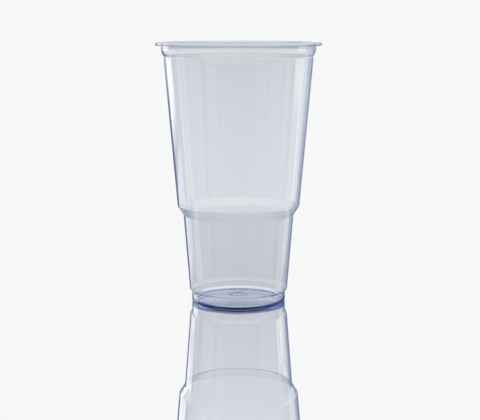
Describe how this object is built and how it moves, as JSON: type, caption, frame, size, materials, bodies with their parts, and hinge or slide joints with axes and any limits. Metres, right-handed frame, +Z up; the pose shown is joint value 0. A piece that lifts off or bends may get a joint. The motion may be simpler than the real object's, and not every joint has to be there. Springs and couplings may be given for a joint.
{
  "type": "plastic cold cup",
  "caption": "Tall clear plastic tumbler for cold drinks, with a rolled rim for a lid, a stacking step, a shoulder and a raised floor.",
  "frame": {"origin": "centre of the standing ring, on the surface that the cup stands on", "axes": "+Z up along the cup's axis, from the foot to the rim; X and Y are alike"},
  "size_m": [0.095, 0.095, 0.15],
  "materials": {
    "clear_plastic": "clear and glossy, with a faint blue tint that is deep where the sheet is seen edge on"
  },
  "bodies": {
    "root": {"cup": "clear_plastic"}
  },
  "joints": []
}
